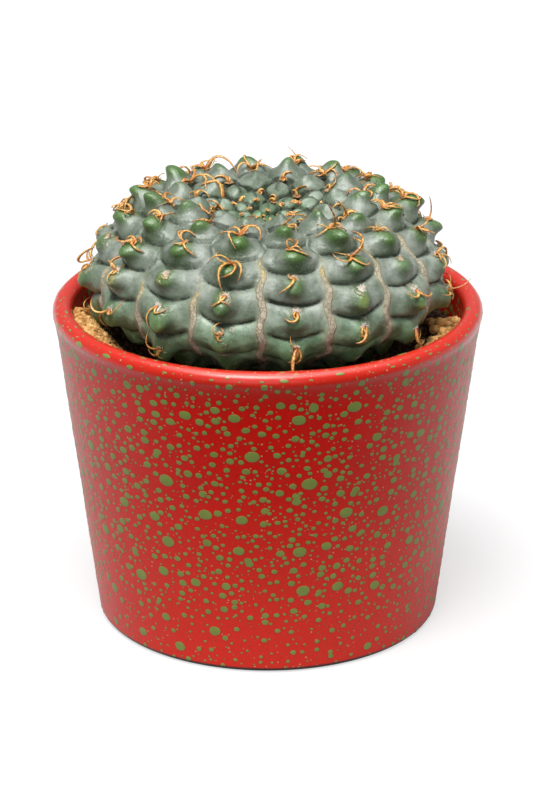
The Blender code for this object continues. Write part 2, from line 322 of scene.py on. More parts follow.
def grow(piece, geometry, material):
    """Ends a tree with instances made real and the material set, runs it on a piece with its inputs, and
    keeps the result as the piece's plain mesh."""
    tree, inputs = geometry.graph.tree, geometry.graph.owner
    faced = through(through(geometry, "RealizeInstances"), "SetMaterial", Material=material)
    tree.links.new(faced.socket, tree.nodes.new("NodeGroupOutput").inputs[0])
    modifier = piece.modifiers.new(tree.name, "NODES")
    modifier.node_group = tree
    for socket in tree.interface.items_tree:
        if socket.name in inputs:
            modifier[socket.identifier] = inputs[socket.name]
    bpy.context.view_layer.update()
    result = bpy.data.meshes.new_from_object(piece.evaluated_get(bpy.context.evaluated_depsgraph_get()))
    piece.modifiers.remove(modifier)
    old, piece.data = piece.data, result
    bpy.data.meshes.remove(old)
    piece.data.name = piece.name
    return piece


def add_piece(name, data, material=None):
    piece = bpy.data.objects.new(name, data)
    bpy.context.scene.collection.objects.link(piece)
    if material:
        data.materials.append(material)
    return piece


def revolved(name, rows, columns, turn=None):
    """A closed surface of revolution. Rows are (radius, height) from pole to pole, down the outside, and each
    may be one number or one for each column, like the columns' turn."""
    if turn is None:
        turn = np.arange(columns) * tau / columns
    radii, heights = (np.array([np.broadcast_to(row[k], columns) for row in rows[1:-1]]) for k in (0, 1))
    ring_points = np.stack([radii * np.sin(turn), -radii * np.cos(turn), heights], axis=-1).reshape(-1, 3)
    points = np.vstack([[0, 0, rows[0][1]], ring_points, [0, 0, rows[-1][1]]])
    grid = 1 + np.arange(radii.size).reshape(radii.shape)
    right = np.roll(grid, -1, axis=1)
    quads = np.stack([grid[:-1], grid[1:], right[1:], right[:-1]], axis=-1).reshape(-1, 4)
    last = len(points) - 1
    top = [(0, int(a), int(b)) for a, b in zip(grid[0], right[0])]
    bottom = [(last, int(b), int(a)) for a, b in zip(grid[-1], right[-1])]
    mesh = bpy.data.meshes.new(name)
    mesh.from_pydata(points.tolist(), [], [*top, *quads.tolist(), *bottom])
    mesh.shade_smooth()
    return add_piece(name, mesh)


def set_attributes(mesh, **named):
    """Stores numbers or vectors on the mesh's points."""
    for name, values in named.items():
        values = np.asarray(values, np.float32)
        kind, slot = ("FLOAT_VECTOR", "vector") if values.ndim == 2 else ("FLOAT", "value")
        mesh.attributes.new(name, kind, "POINT").data.foreach_set(slot, values.ravel())


def arc(centre, radius, start, end, steps):
    angles = np.radians(np.linspace(start, end, steps + 1))
    return [(centre[0] + radius * cos(a), centre[1] + radius * sin(a)) for a in angles]


def line(start, end, steps):
    """Points of a straight line in the profile plane, both ends left out."""
    return [tuple(a + (b - a) * i / steps for a, b in zip(start, end)) for i in range(1, steps)]


# ---- the pot ----


def wall_radius(height):
    return WALL_RADIUS_AT_BASE + (WALL_RADIUS_AT_LIP - WALL_RADIUS_AT_BASE) * height / LIP_LEVEL


def inner_radius(height):
    return wall_radius(height) - WALL


# Layers of droplets: cell size, smallest and largest radius in mm, share of cells with one, pattern's shift
SPOT_LAYERS = [
    (12.0, 1.25, 2.0, 0.6, 0.31),
    (3.8, 0.6, 1.2, 0.97, 0.77),
    (2.7, 0.36, 0.75, 0.97, 1.13),
    (2.3, 0.2, 0.38, 0.8, 1.59),
]
RAISED_LAYERS = 3
SPOT_GAP = 0.3 * MM
BURIED = 2 * MM  # how deep a droplet that has no room is sunk
BACK_SHIFT = 5.0  # metres that the back's pattern is shifted by, so that it doesn't repeat the front's
UNROLL_RADIUS = 60 * MM / 1.2  # less than the wall's own, so that the droplets are wider than high
DROPLET_HEIGHT, WALL_WAVE = 0.12 * MM, 0.5 * MM


def unrolled(place, turned_round):
    """The wall laid flat, the lip and the inside above it: metres round from the front or back, metres up."""
    x, y, height = parts_of(place)
    azimuth = combine("ARCTAN2", -x, y) if turned_round else combine("ARCTAN2", x, -y)
    climb = height + 2.0 * (wall_radius(height) - root_of(x * x + y * y))
    return vector_of(place.graph, azimuth * UNROLL_RADIUS, climb, 0.0)


def droplet(flat, layer):
    """The nearest droplet of one layer: how far inside it a point lies, its centre and its radius."""
    size, least, most, share, shift = layer
    away = (0.0, shift, 0.0)
    cell = cells(flat + away, size, flat=True, randomness=0.9)
    chance, keep, _ = parts_of(also(cell, "Color"))
    reach = (least * MM + (most - least) * MM * chance**1.5) * (keep < share)
    return reach - cell * (size * MM), also(cell, "Position") - away, reach


def glaze_spots(place, layers):
    """How far inside a droplet a point lies, in metres, negative outside. Front and back have their own."""
    height = parts_of(place)[2]
    warp = (noise(place, 3.0, 1.0, output="Color") - MIDDLE) * (0.4 * MM)
    # Droplets are smaller on the lip and towards the foot
    shrunk = (0.42 * rise(height, 98 * MM, 101.5 * MM) + 0.3 * rise(height, 36 * MM, 6 * MM)) * MM
    inside = None
    for turned_round in (False, True):
        flat = unrolled(place, turned_round) + warp + (0.0, BACK_SHIFT * turned_round, 0.0)
        for i, layer in enumerate(layers):
            depth, centre, reach = droplet(flat, layer)
            room = abs(parts_of(centre)[0]) < 0.25 * tau * UNROLL_RADIUS
            for larger in layers[:i]:
                room = room * (droplet(centre, larger)[0] + reach < -SPOT_GAP)
            depth = depth - shrunk - BURIED * (1.0 - room)
            inside = depth if inside is None else largest(inside, depth)
    return inside


def make_glaze():
    """Satin red glaze with green droplets, thicker and glossier over the lip, none on the foot, which is
    painted near-black as contact shadow.
    """
    graph, place = surface(
        "red_glaze", 0.4, Specular_IOR_Level=0.4, Specular_Tint=(1.0, 0.8, 0.74, 1.0), Coat_Roughness=0.32
    )
    height = parts_of(place)[2]
    inside = glaze_spots(place, SPOT_LAYERS)
    spot = rise(inside, -0.06 * MM, 0.09 * MM)
    speck_cell = cells(place, 1.7)
    chance, kind, _ = parts_of(also(speck_cell, "Color"))
    speck = rise(speck_cell * 1.7 - 0.32 * chance * (chance > 0.4), 0.05, -0.05)
    red = painted(
        blend(noise(place, 16, 4), (0.59, 0.003, 0.0), (0.73, 0.006, 0.001)),
        # Painted light: the red lighter towards the foot, where bounce light from the floor falls
        (rise(height, 80 * MM, 20 * MM), (0.73, 0.018, 0.007)),
        # Painted sheen: a paler, pinker red over the lip, where the top light falls
        (rise(height, 94 * MM, 101 * MM), (0.68, 0.018, 0.006)),
        (0.12 * rise(noise(place, 0.7, 2), 0.52, 0.74), (0.8, 0.08, 0.03)),
        # A darker red ring round each droplet: partly glaze that ran, partly painted shade of its raised edge
        (0.55 * rise(inside, -0.32 * MM, -0.05 * MM), (0.3, 0.006, 0.003)),
        (0.7 * speck, blend(kind, (0.66, 0.46, 0.28), (0.34, 0.4, 0.22))),
    )
    green = blend(noise(place, 3.5, 3), (0.17, 0.245, 0.045), (0.26, 0.34, 0.075))
    green = blend(0.4 * rise(inside, 0.4 * MM, 0.0), green, (0.28, 0.32, 0.13))
    # The bare foot, up to 1.2 to 1.9 mm, is painted near-black as painted contact shadow
    colour = painted(red, (spot, green), (rise(height, 1.9 * MM, 1.2 * MM), (0.012, 0.004, 0.003)))
    rough = 0.28 + 0.1 * noise(place, 5, 3) + 0.05 * spot
    pooled = 0.55 * rise(height, 97.5 * MM, 100.5 * MM)
    relief = bump(rise(inside, -0.1 * MM, 0.3 * MM), 0.06)
    relief = bump(noise(place, 0.9, 3), 0.03, relief)
    return finished(graph, Base_Color=colour, Roughness=rough, Coat_Weight=pooled, Normal=relief)


def make_pot():
    """The pot: a straight tapered wall, a round lip and a recessed foot, with its droplets as real relief."""
    lip_centre = (RIM_RADIUS - LIP_RADIUS, LIP_LEVEL)
    foot_centre = (wall_radius(FOOT_ROUND) - FOOT_ROUND, FOOT_ROUND)
    foot_inside = foot_centre[0] - FOOT_WIDTH
    neck = LIP_LEVEL - 2.6 * LIP_RADIUS
    floor_edge = (inner_radius(POT_FLOOR), POT_FLOOR)
    inner_neck, outer_neck = (inner_radius(neck), neck), (wall_radius(neck), neck)
    rows = [
        (0.0, POT_FLOOR), (0.5 * floor_edge[0], POT_FLOOR), floor_edge,
        *line(floor_edge, inner_neck, 8), inner_neck,
        *arc(lip_centre, LIP_RADIUS, 192, -28, 24), outer_neck,
        *line(outer_neck, (wall_radius(FOOT_ROUND), FOOT_ROUND), 100),
        *arc(foot_centre, FOOT_ROUND, 0, -90, 8),
        (foot_inside + 0.4 * MM, 0.0), (foot_inside, 0.3 * MM),
        (foot_inside - FOOT_RECESS, FOOT_RECESS), (0.5 * foot_inside, FOOT_RECESS), (0.0, FOOT_RECESS),
    ]
    piece = revolved("glazed_pot", rows, POT_SIDES)
    inputs = {"Droplet height": DROPLET_HEIGHT, "Wall wave": WALL_WAVE}
    graph, geometry, given = geometry_tree("Glaze droplets", inputs)
    place, normal = field(graph, "Position"), field(graph, "Normal")
    outward = rise(parts_of(normal)[2], -0.7, -0.5)
    inside = glaze_spots(place, SPOT_LAYERS[:RAISED_LAYERS])
    raised = rise(inside, -0.2 * MM, 0.5 * MM) * given["Droplet height"] * outward
    waved = (noise(place, 30, 1.0) - 0.5) * given["Wall wave"] * outward
    swollen = through(geometry, "SetPosition", Offset=normal * (raised + waved))
    return grow(piece, swollen, make_glaze())


# ---- the plant ----


def outline_table(points, steps=24):
    """A smooth curve through the outline's points, as arrays of arc length, radius and height."""
    p = np.array(points) * MM
    p = np.vstack([2 * p[0] - p[1], p, 2 * p[-1] - p[-2]])
    curve = []
    for a, b, c, d in zip(p, p[1:], p[2:], p[3:]):
        for t in np.arange(steps) / steps:
            curve.append(0.5 * (2 * b + (c - a) * t + (2 * a - 5 * b + 4 * c - d) * t**2
                                + (3 * b - a - 3 * c + d) * t**3))
    curve = np.array([*curve, p[-2]])
    arcs = np.concatenate([[0], np.cumsum(np.linalg.norm(np.diff(curve, axis=0), axis=1))])
    return arcs, np.maximum(curve[:, 0], 0), curve[:, 1] + LIP_LEVEL


ARCS, RADII, HEIGHTS = outline_table(BODY_OUTLINE)


def outline_at(arc_length):
    return np.interp(arc_length, ARCS, RADII), np.interp(arc_length, ARCS, HEIGHTS)


def arc_at(tier):
    grown = tier - SEAT_SHARE - SHOULDER_TIER
    if grown <= 0:
        return SHOULDER_ARC * CROWN_GROWTH**grown
    return SHOULDER_ARC + grown * TIER_SPACING


def crown_turn(tier):
    """How far the rows of the crown have turned at a tier, as a share of the full circle."""
    t = min(1.0, max(0.0, (tier + 1.0) / (SHOULDER_TIER + 1.5)))
    return CROWN_TWIST / RIBS * (1 - t * t * (3 - 2 * t))


# The crown's middle is a spiral of domes that grow with the radius, each a golden angle on from the last
CROWN_BUD, BUD_GROWTH = 4.0 * MM, 0.27
FIRST_BUD_RADIUS, LAST_SPIRAL_RADIUS = 0.9 * MM, 15.6 * MM
FIRST_BUD_AZIMUTH = 0.4
BUD_CROWDING = 0.2757  # of the square of a dome's size, the step of the radius squared
BUD_AREOLE = 0.42  # of a dome's size, from its middle inwards to its areole
RIB_DOME, RIB_DOME_WIDTH = 0.93, 1.15  # sizes of the ribs' own domes, of a tier's length and of a rib's width
FIRST_RIB_BUD = 3  # the first tier of the odd ribs, after the spiral
GOLDEN_ANGLE = radians(137.508)


def skin_place(arc_length, azimuth):
    radius, height = (float(v) for v in outline_at(arc_length))
    return Vector((radius * sin(azimuth), -radius * cos(azimuth), height))


def crown_buds():
    """The crown's tubercles, a spiral and then ribs: middle, areole, size, tier, if in the spiral."""
    buds = []
    radius, turn = FIRST_BUD_RADIUS, FIRST_BUD_AZIMUTH
    while radius < LAST_SPIRAL_RADIUS:
        size = CROWN_BUD + BUD_GROWTH * radius
        tier = SEAT_SHARE + SHOULDER_TIER + log(radius / SHOULDER_ARC) / log(CROWN_GROWTH)
        spots = skin_place(radius, turn), skin_place(radius - BUD_AREOLE * size, turn)
        buds.append((*spots, size, tier, True))
        radius = sqrt(radius * radius + BUD_CROWDING * size * size)
        turn += GOLDEN_ANGLE
    for rib in range(RIBS):
        for n in range(FIRST_RIB_BUD + 1 - rib % 2, SHOULDER_TIER + 3):
            inner = n + 0.5 * (rib % 2)
            spots = []
            for tier in (inner + 0.5, inner + CROWN_AREOLE_SHARE):
                turn = FRONT_RIB_AZIMUTH + crown_turn(tier) * tau + rib * RIB_ANGLE
                spots.append(skin_place(arc_at(tier), turn))
            length, width = arc_at(inner + 1) - arc_at(inner), spots[0].xy.length * RIB_ANGLE
            buds.append((*spots, RIB_DOME * min(length, width * RIB_DOME_WIDTH), inner, False))
    return buds


def tubercle(side, index, tier, width, length, grown, aged, given):
    """One rib's tubercles at a point, which lies aside by a share of the rib's width: their height, chin,
    distance to the areole and to the crease, a random tone, and the underside."""
    graph = tier.graph
    # A rib's number, the same on both sides of the first one
    rib = combine("FLOORED_MODULO", index, float(RIBS)) + 0.5
    odd = combine("FLOORED_MODULO", index, 2.0)
    own = graph.node("ShaderNodeTexWhiteNoise", {"noise_dimensions": "1D"}, {"W": rib})
    place = tier - 0.5 * odd + CREASE_BOW * grown * side * side + 0.1 * grown * (own - 0.5)
    number = combine("FLOOR", place)
    share = place - number
    lot_size, lot_chin, lot_shift = chances(rib, number, kind="2D")
    beside = side * width
    # On the flanks: a broad pillow that overhangs the next crease
    aside = abs(side) / (0.5 - 0.06 * combine("COSINE", tau * share))
    across = largest(1.0 - (0.75 - 0.42 * aged) * aside**3.8, 0.0)
    rising = 1.0 - largest(1.0 - share / CREST_START, 0.0) ** 3.0
    falling = 1.0 - largest((share - CREST_END) / (1.0 - CREST_END), 0.0) ** 3.0
    pillow = across * (RIDGE + (1.0 - RIDGE) * rising * falling) * (0.74 + 0.5 * lot_size)
    # The chin: a knob on a wide skirt, below the areole
    nose = 0.2 * smallest(width, 1.75 * length)
    left_right = (beside + 0.09 * (lot_shift - 0.5) * width) / nose
    up_down = (share - CHIN_SHARE - 0.1 * (lot_size - 0.5)) * length / nose
    reach = left_right * left_right + up_down * up_down * (0.7 + 0.6 * (up_down > 0.0))
    chin = 0.82 * combine("EXPONENT", -(reach**1.4)) + 0.18 * combine("EXPONENT", -0.25 * reach)
    chin = chin * (0.62 + 0.65 * lot_chin) * across
    seat_share = CROWN_AREOLE_SHARE + (AREOLE_SHARE - CROWN_AREOLE_SHARE) * grown
    seat_along = (share - seat_share) * length
    seat = root_of(beside * beside + seat_along * seat_along)
    lift = pillow * given["Swelling"] + chin * given["Chin"]
    crease = smallest(share, 1.0 - share) * length
    under = rise(share, 0.52, 0.85) * largest(1.0 - 5.0 * side * side, 0.0) * grown
    return lift, chin, seat, crease, lot_chin, under


def crown_fields(graph, place, buds, dome_height):
    """The same values as a tubercle's, for the crown's domes: each point belongs to the nearest bud."""
    cloud = geometry_of(graph, buds)
    nearest = through(cloud, "SampleNearest", {"domain": "POINT"}, Sample_Position=place)

    def of_bud(value, kind="FLOAT"):
        settings = {"data_type": kind, "domain": "POINT"}
        return through(cloud, "SampleIndex", settings, Value=value, Index=nearest)

    middle = of_bud(field(graph, "Position"), "FLOAT_VECTOR")
    areole = of_bud(vector_attribute(graph, "areole"), "FLOAT_VECTOR")
    size, tone = of_bud(attribute(graph, "size")), of_bud(attribute(graph, "tone"))
    off, inward = place - middle, areole - middle
    away = dot(off, off)
    ahead = dot(off, inward) / root_of(dot(inward, inward))
    beside = root_of(largest(away - ahead * ahead, 0.0))
    dome = largest(1.0 - away / (size * size * 0.32), 0.0) ** 0.6
    ridge = combine("EXPONENT", beside * beside / (size * size * -0.02))
    lift = size * dome_height * dome * (0.9 + 0.14 * ridge)
    chin = ridge * rise(dome, 0.35, 0.9) * (0.6 + 0.5 * tone)
    to_areole = place - areole
    crease = (dome - 0.3) * 5.0 * MM
    return (lift, chin, root_of(dot(to_areole, to_areole)), crease, tone, 0.0), size


def make_skin():
    """Waxy grey-green skin: fresh green chins, painted shade in the creases and down at the soil, cork in the
    old furrows.
    """
    graph, place = surface("cactus_skin", 0.4, Specular_IOR_Level=0.5)
    chin, crease, furrow, old = attributes(graph, "chin crease furrow old")
    seat, tone, tier, under = attributes(graph, "seat tone age under")
    height = parts_of(place)[2]
    mottle = noise(place, 6, 5, 0.6)
    uneven = mottle - 0.5
    hollow = rise(furrow, 3.4 * MM, 0.8 * MM) * rise(tier, 4.8, 6.4)
    bloom = blend(rise(mottle, 0.3, 0.8), (0.112, 0.146, 0.108), (0.37, 0.395, 0.355))
    # Painted shade: the lowest tiers, turned down towards the pot, darker and greener
    low_shade_tint = blend(rise(tier, 7.8, 9.4), (1, 1, 1), (0.55, 0.92, 0.58))
    fresh = blend(noise(place, 4, 3), (0.026, 0.078, 0.01), (0.09, 0.195, 0.028))
    dome = blend(mottle, (0.072, 0.145, 0.065), (0.17, 0.285, 0.15))
    ripe = rise(chin, 0.6, 0.95) * rise(noise(place, 8, 2), 0.5, 0.62) * rise(tier, 6.8, 7.8)
    shaded = under * (0.6 + 0.3 * rise(tier, 5.6, 6.6) - 0.35 * rise(tier, 6.8, 7.8))
    furrow_shade = rise(furrow + 0.5 * MM * uneven, 0.8 * MM, 0.1 * MM) * rise(tier, 4.6, 5.4) * (old < 0.3)
    # Painted shade: near-black along the creases and the furrow lines
    dark = largest(rise(crease + 0.4 * MM * uneven, 0.7 * MM, 0.1 * MM), 0.7 * furrow_shade)
    flecks = rise(cells(place, 1.3) * 1.3, 0.22, 0.12) * rise(noise(place, 9, 1), 0.5, 0.62)
    # Cork along the furrows, and pale scars round the old areoles
    ragged = 1.1 * MM * (noise(place, 1.7, 3, 0.6) - 0.5)
    cork_width = (0.6 + 0.6 * noise(place, 9, 1)) * 1.15 * MM * rise(old, 0.0, 1.1)
    past_cork = furrow + ragged - cork_width
    cork = rise(past_cork, 0.14 * MM, -0.14 * MM) * (old > 0.0)
    halo = rise(past_cork, 1.8 * MM, 0.0) * (old > 0.0)
    scar = rise(noise(place, 4.5, 2), 0.56, 0.62) * rise(seat, 4.5 * MM, 2.5 * MM) * rise(tier, 6.9, 7.4)
    cracks = rise(cells(place, 1.5, feature="DISTANCE_TO_EDGE") * 1.5, 0.1, 0.02)
    corky = painted(
        blend(noise(place, 1.0, 4, 0.7), (0.36, 0.3, 0.19), (0.68, 0.62, 0.48)),
        (rise(old, 1.2, 0.2), (0.62, 0.47, 0.17)),
        (0.4 * cracks, (0.22, 0.16, 0.09)),
    )
    felt = rise(seat + 0.8 * MM * (noise(place, 0.8, 2) - 0.5), 0.9 * MM, 0.5 * MM) * rise(tier, 9.0, 8.2)
    colour = painted(
        # Painted light: the bloom lighter on the lower flanks, tiers 6.6 to 8.2, as if lit from the front
        bloom * (1.0 + 0.45 * rise(tier, 6.6, 8.2)) * low_shade_tint,
        (rise(chin + 0.25 * uneven, 0.12, 0.62) * (0.95 - 0.35 * rise(tier, 6.4, 8.0)), fresh),
        (0.6 * rise(chin + 0.3 * uneven, 0.55, 0.95) * rise(tier, 4.6, 5.6), (0.085, 0.21, 0.028)),
        (0.75 * rise(tier, 5.4, 2.6), blend(rise(chin, 0.05, 0.7), dome, (0.05, 0.215, 0.022))),
        (0.6 * rise(tier, 2.6, 0.6), (0.05, 0.2, 0.03)),
        # Painted shade in the hollows beside the furrows
        (0.15 * hollow * rise(tier, 7.6, 6.6), (0.055, 0.092, 0.055)),
        (0.65 * ripe, (0.22, 0.27, 0.035)),
        (shaded, (0.03, 0.058, 0.016)),
        (0.35 * tone, (0.1, 0.15, 0.085)),
        # Painted shade in the creases and furrow lines
        (0.92 * dark, (0.012, 0.022, 0.007)),
        (0.28 * rise(noise(place, 0.55, 2, 0.6), 0.52, 0.7), (0.34, 0.38, 0.3)),
        (0.5 * flecks, (0.42, 0.46, 0.36)),
        (0.4 * halo, (0.38, 0.37, 0.25)),
        (largest(cork, 0.5 * scar), corky),
        # Painted shade: near-black down towards the soil, between the plant and the pot
        (0.78 * rise(height, LIP_LEVEL - 0.5 * MM, LIP_LEVEL - 8 * MM), (0.016, 0.034, 0.007)),
        (felt, blend(rise(tier, 6.6, 7.8), (0.42, 0.2, 0.07), (0.74, 0.66, 0.56))),
    )
    rough = 0.31 - 0.1 * chin + 0.16 * mottle + 0.06 * hollow + 0.08 * rise(tier, 6.4, 8.0)
    relief = bump(noise(place, 1.3, 4, 0.6), 0.1)
    relief = bump(mottle, 0.7, relief)
    broken = 0.5 + 0.5 * noise(place, 0.8, 3, 0.7) - 0.4 * cracks
    relief = bump(largest(cork, scar) * broken, 0.4, relief)
    return finished(graph, Base_Color=colour, Roughness=rough + 0.4 * cork + 0.25 * dark, Normal=relief)


def make_buds():
    """The crown's tubercles as points."""
    buds = crown_buds()
    chance = random.Random(3)
    mesh = bpy.data.meshes.new("buds")
    mesh.from_pydata([tuple(b[0]) for b in buds], [], [])
    sizes = [b[2] * chance.uniform(0.93, 1.07) for b in buds]
    set_attributes(mesh, areole=[b[1] for b in buds], size=sizes, tone=[chance.random() for _ in buds])
    return add_piece("buds", mesh)


def stem_surface():
    """The stem and root before the tubercles, turned, with the rib and tier of each point as attributes."""
    tiers = np.concatenate([
        np.arange(FIRST_TIER, CROWN_TIER - 0.01, 1 / CROWN_ROWS_PER_TIER),
        np.arange(CROWN_TIER, LAST_TIER, 1 / ROWS_PER_TIER)])
    arcs = [arc_at(t) for t in tiers]
    root = np.linspace(arcs[-1], ARCS[-1], ROOT_ROWS)[1:-1]
    all_arcs = np.concatenate([arcs, root])
    columns = RIBS * COLUMNS_PER_RIB
    radii, heights = outline_at(all_arcs)
    row_tiers = np.concatenate([tiers, tiers[-1] + (root - arcs[-1]) / TIER_SPACING])
    ribs = np.arange(columns) / COLUMNS_PER_RIB
    turns = np.array([crown_turn(t) for t in row_tiers]) * tau
    spin = FRONT_RIB_AZIMUTH + turns[:, None] + ribs[None] * tau / RIBS
    rows = [(0.0, HEIGHTS[0]), *zip(radii, heights), (0.0, HEIGHTS[-1])]
    piece = revolved("cactus", rows, columns, spin)
    ahead, behind = (np.stack(outline_at(all_arcs + step)) for step in (0.5 * MM, -0.5 * MM))
    downhill = (ahead - behind) / np.linalg.norm(ahead - behind, axis=0)
    lengths = np.array([arc_at(t + 0.5) - arc_at(t - 0.5) for t in row_tiers])

    def on_grid(values, pole=0.0):
        return np.concatenate([[pole], np.broadcast_to(values, (len(row_tiers), columns)).ravel(), [pole]])

    def along(radial, upward):
        x, y, z = radial[:, None] * np.sin(spin), -radial[:, None] * np.cos(spin), upward[:, None] + 0 * spin
        return np.vstack([[0, 0, 0], np.stack([x, y, z], -1).reshape(-1, 3), [0, 0, 0]])

    cork_starts = np.array(CORK_STARTS)[np.floor(ribs).astype(int)]
    set_attributes(
        piece.data, rib=on_grid(ribs[None]), tier=on_grid(row_tiers[:, None], row_tiers[0]),
        cell_length=on_grid(lengths[:, None], lengths[0]), cork_start=on_grid(cork_starts[None]),
        downhill=along(*downhill), outward=along(-downhill[1], downhill[0]),
    )
    return piece


def make_body():
    """The cactus: tubercles raised on the stem, domes in the crown that go over into ribs on the flanks."""
    buds = make_buds()
    graph, geometry, given = geometry_tree("Tubercles", {
        "Buds": buds, "Dome": DOME_HEIGHT, "Swelling": SWELLING, "Chin": CHIN_HEIGHT, "Overhang": OVERHANG,
        "Cork height": CORK_HEIGHT, "Areole depth": AREOLE_DEPTH,
    })
    position = field(graph, "Position")
    x, y, height = parts_of(position)
    even_tier, rib, length, cork_start = attributes(graph, "tier rib cell_length cork_start")
    width = largest(root_of(x * x + y * y), 1 * MM) * RIB_ANGLE
    drift = parts_of(noise(position, 17, 1.0, output="Color") - MIDDLE)
    grown, aged = rise(even_tier, 4.0, 5.8), rise(even_tier, 5.2, 7.8)
    tier = even_tier + 0.34 * drift[1] * grown
    zigzag = combine("COSINE", tau * tier) * combine("SINE", pi * rib)
    rib = rib + (0.2 * drift[0] + (0.07 - 0.045 * aged) * zigzag) * grown
    below = combine("FLOOR", rib)
    near = tubercle(rib - below, below, tier, width, length, grown, aged, given)
    far = tubercle(rib - below - 1.0, below + 1.0, tier, width, length, grown, aged, given)
    nearer = near[0] > far[0]
    flank = [b + (a - b) * nearer for a, b in zip(near, far)]
    flank[2] = smallest(near[2], far[2])
    crown, bud_size = crown_fields(graph, position, given["Buds"], given["Dome"])
    lift, chin, seat, crease, tone, under = (a + (b - a) * grown for a, b in zip(crown, flank))
    # How full-grown the tubercles are, from small domes at the apex to the shoulder's
    young = smallest(1.0, bud_size / TIER_SPACING)
    young = young + (1.0 - young) * grown
    seat = seat / young
    above_soil = rise(height, SOIL_LEVEL + 0.2 * MM, SOIL_LEVEL + 4 * MM)
    furrow = abs(rib - below - 0.5) * width + 0.9 * MM * (noise(position, 9, 1) - 0.5)
    old = even_tier - cork_start
    cork = rise(furrow, 1.5 * MM, 0.5 * MM) * rise(old, 0.0, 1.3)
    lift = lift + cork * given["Cork height"] - given["Areole depth"] * rise(seat, 2.1 * MM, 0.5 * MM) * young
    skin = (noise(position, 6, 2) - 0.5) * 0.8 * MM + (noise(position, 1.8, 2) - 0.5) * 0.14 * MM
    lift = (lift + skin * young) * above_soil
    slide = chin * chin * given["Overhang"] * young * above_soil * grown
    offset = vector_attribute(graph, "outward") * lift + vector_attribute(graph, "downhill") * slide
    raised = through(geometry, "SetPosition", Offset=offset)
    kept = {
        "chin": chin, "crease": crease, "furrow": furrow, "old": old,
        "seat": seat, "tone": tone, "under": under, "age": even_tier,
    }
    for label, value in kept.items():
        raised = store(raised, label, value)
    body = grow(stem_surface(), raised, make_skin())
    bpy.data.objects.remove(buds)
    return body


# ---- spines and wool ----

LAST_AREOLE_TIER = 10


def find_areoles(body):
    """The skin's point nearest each areole: rib, tier, place, and the ways outwards and down the skin."""
    def values(name, kind="value", size=1):
        found = np.empty(len(body.data.vertices) * size, np.float32)
        body.data.attributes[name].data.foreach_get(kind, found)
        return found.reshape(-1, size) if size > 1 else found

    places = values("position", "vector", 3)
    rib, tier, seat = values("rib"), values("age"), values("seat")
    outward, downhill = values("outward", "vector", 3), values("downhill", "vector", 3)
    areoles = []
    for _, areole, size, age, in_spiral in crown_buds():
        if in_spiral and size > CROWN_BUD * 1.1:
            best = np.argmin(((places[:, :2] - np.array(areole.xy)) ** 2).sum(1) + (tier > SHOULDER_TIER))
            areoles.append((age - 0.45, places[best], outward[best], -downhill[best]))
    for i in range(RIBS):
        aside = np.abs(np.mod(rib - i + RIBS / 2, RIBS) - RIBS / 2)
        for n in range(FIRST_RIB_BUD + 1 - i % 2, LAST_AREOLE_TIER + 1):
            around_it = (aside < 0.35) & (np.abs(tier - n - 0.5 * (i % 2) - AREOLE_SHARE) < 0.45)
            best = np.flatnonzero(around_it)[np.argmin(seat[around_it])]
            areoles.append((tier[best], places[best], outward[best], downhill[best]))
    return areoles


def areole_points(name, areoles, **numbers):
    """A mesh of one point for each areole, with its directions and its numbers as attributes."""
    tiers, places, outward, downhill = zip(*areoles)
    mesh = bpy.data.meshes.new(name)
    mesh.from_pydata([tuple(map(float, place)) for place in places], [], [])
    set_attributes(mesh, root=places, outward=outward, downhill=downhill)
    set_attributes(mesh, tier=tiers, order=range(len(areoles)), **numbers)
    return add_piece(name, mesh)


def strands(geometry, points):
    """Strands of so many points at the mesh's points, as many at each as its 'amount' says."""
    graph = geometry.graph
    copies = through(geometry, "DuplicateElements", {"domain": "POINT"}, Amount=attribute(graph, "amount"))
    numbered = store(copies, "number", also(copies, "Duplicate Index"))
    inputs = {"Count": points, "Offset": (0, 0, 1 * MM)}
    strand = graph.node("GeometryNodeMeshLine", {"mode": "OFFSET"}, inputs)
    strand = store(strand, "along", field(graph, "Index") * (1.0 / (points - 1)))
    return through(through(numbered, "InstanceOnPoints", Instance=strand), "RealizeInstances")


def strand_fields(graph):
    """Of each point of a strand: its place along, its areole's order and its number there, and three ways."""
    outward, down = vector_attribute(graph, "outward"), vector_attribute(graph, "downhill")
    return *attributes(graph, "along order number"), outward, down, cross(outward, down)


def laid_out(spun, offset):
    """Strands with their points at an offset from the areole."""
    return through(spun, "SetPosition", Position=vector_attribute(spun.graph, "root") + offset)


def keep_off_skin(geometry, body, clearance, how_much):
    """Lifts the points that are closer to the skin than a clearance."""
    graph = geometry.graph
    skin, place = geometry_of(graph, body), field(graph, "Position")

    def nearest(value):
        settings = {"data_type": "FLOAT_VECTOR"}
        return through(skin, "SampleNearestSurface", settings, "Value", Value=value, Sample_Position=place)

    normal = nearest(field(graph, "Normal"))
    height = dot(place - nearest(field(graph, "Position")), normal)
    push = largest(clearance - height, 0.0) * how_much
    return through(geometry, "SetPosition", Offset=normal * push)


def thicken(geometry, radius, sides, flatness):
    """Strands made round, or flattened, with closed ends."""
    settings, inputs = {"mode": "RADIUS"}, {"Resolution": sides, "Radius": 1.0}
    ring = geometry.graph.node("GeometryNodeCurvePrimitiveCircle", settings, inputs)
    ring = through(ring, "Transform", Scale=(1.0, flatness, 1.0))
    curve = through(geometry, "MeshToCurve")
    tube = through(curve, "CurveToMesh", Profile_Curve=ring, Scale=radius, Fill_Caps=True)
    return through(tube, "SetShadeSmooth")


